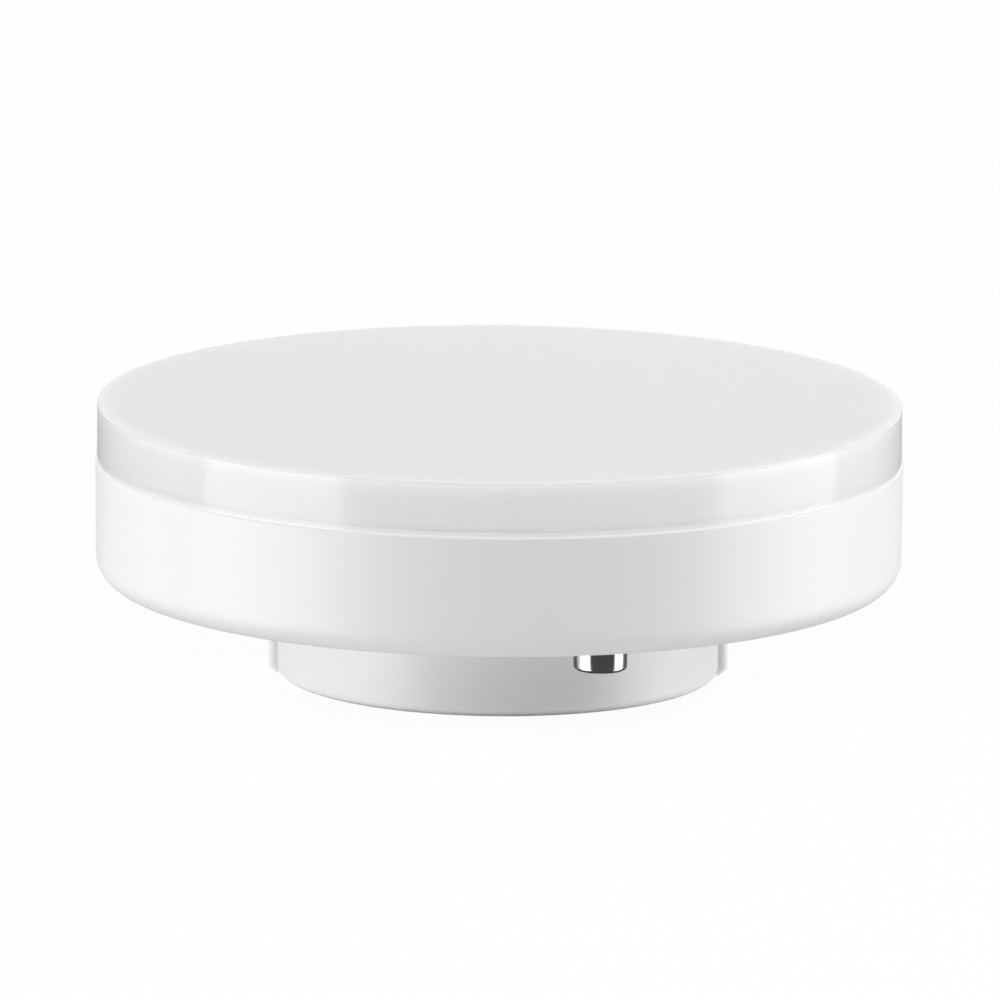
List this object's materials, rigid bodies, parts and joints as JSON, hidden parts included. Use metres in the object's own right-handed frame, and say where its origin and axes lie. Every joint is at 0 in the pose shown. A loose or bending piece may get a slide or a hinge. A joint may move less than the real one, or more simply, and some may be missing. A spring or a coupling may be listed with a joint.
{
  "type": "led disc lamp",
  "caption": "Round flat LED lamp with an opal diffuser, a white drum housing, a keyed boss and twist-lock contact pins, with its LED board and driver inside.",
  "frame": {"origin": "centre of the boss's flat end face, which the lamp stands on", "axes": "+Z from the cap to the light-emitting face, Y through the two contact pins, contact_pin_1 on -Y"},
  "size_m": [0.075, 0.075, 0.0256],
  "materials": {
    "opal_plastic": "opal, satin gloss",
    "white_plastic": "smooth moulded, satin gloss",
    "nickel_plate": "bright nickel plating",
    "pressed_aluminium": "rolled sheet, satin",
    "white_solder_mask": "white solder mask, satin",
    "led_package": "matt",
    "led_phosphor": "clear gloss",
    "screw_steel": "zinc plated",
    "solder": "bright solder",
    "green_solder_mask": "green solder mask, gloss",
    "black_moulding": "fine matt moulding",
    "resistor_coat": "lacquer",
    "varistor_coat": "dipped epoxy",
    "film_box": "smooth moulded box",
    "black_sleeve": "shrink sleeve",
    "blue_sleeve": "shrink sleeve",
    "ferrite": "ground ferrite",
    "bobbin_plastic": "matt",
    "yellow_tape": "polyester tape",
    "black_chip": "glazed film",
    "brown_chip": "fired body",
    "brown_insulation": "extruded insulation",
    "blue_insulation": "extruded insulation",
    "red_insulation": "extruded insulation",
    "black_insulation": "extruded insulation"
  },
  "bodies": {
    "root": {"diffuser": "opal_plastic", "housing": "white_plastic", "contact_pin_1": "nickel_plate", "contact_pin_2": "nickel_plate", "heat_spreader": "pressed_aluminium", "led_board": "white_solder_mask", "led_packages": "led_package", "led_phosphors": "led_phosphor", "board_screws": "screw_steel", "led_board_solder": "solder", "driver_board": "green_solder_mask", "bridge_rectifier": "black_moulding", "driver_chip": "black_moulding", "output_diode": "black_moulding", "fusible_resistor": "resistor_coat", "varistor": "varistor_coat", "film_capacitor": "film_box", "input_capacitor": "black_sleeve", "output_capacitor": "blue_sleeve", "transformer_core": "ferrite", "transformer_bobbin": "bobbin_plastic", "transformer_winding": "yellow_tape", "chip_resistors": "black_chip", "chip_capacitors": "brown_chip", "live_wire": "brown_insulation", "neutral_wire": "blue_insulation", "led_wire_positive": "red_insulation", "led_wire_negative": "black_insulation"}
  },
  "joints": []
}
